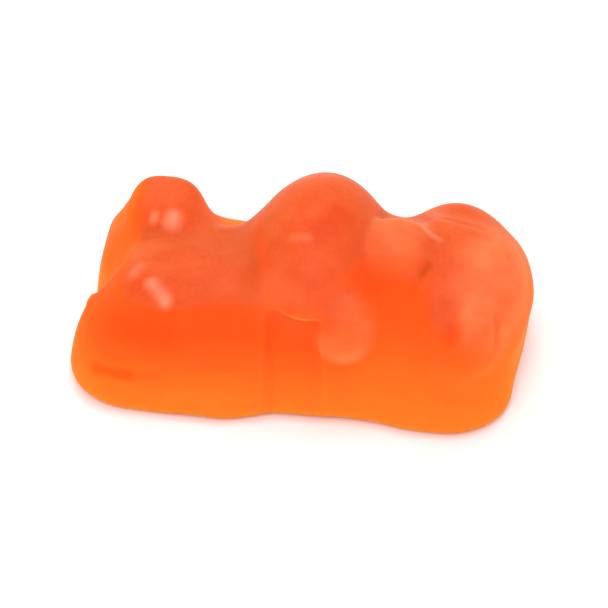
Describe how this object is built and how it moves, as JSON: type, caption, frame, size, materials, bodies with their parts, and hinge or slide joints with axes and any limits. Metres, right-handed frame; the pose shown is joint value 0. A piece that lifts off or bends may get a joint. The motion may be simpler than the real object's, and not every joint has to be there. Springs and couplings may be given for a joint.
{
  "type": "gummy bear",
  "caption": "Soft chewy sweet in the shape of a small bear, lying on its flat back with its tummy, muzzle and stubby paws up.",
  "frame": {"origin": "middle of the flat back that the bear lies on", "axes": "+X from the soles of the feet to the crown, +Y to the bear's left, +Z from the flat back to the tummy"},
  "size_m": [0.0216, 0.0124, 0.0095],
  "materials": {
    "orange_jelly": "translucent orange jelly with a satin surface, soft highlights and lighter thin edges"
  },
  "bodies": {
    "root": {"gummy_bear": "orange_jelly"}
  },
  "joints": []
}
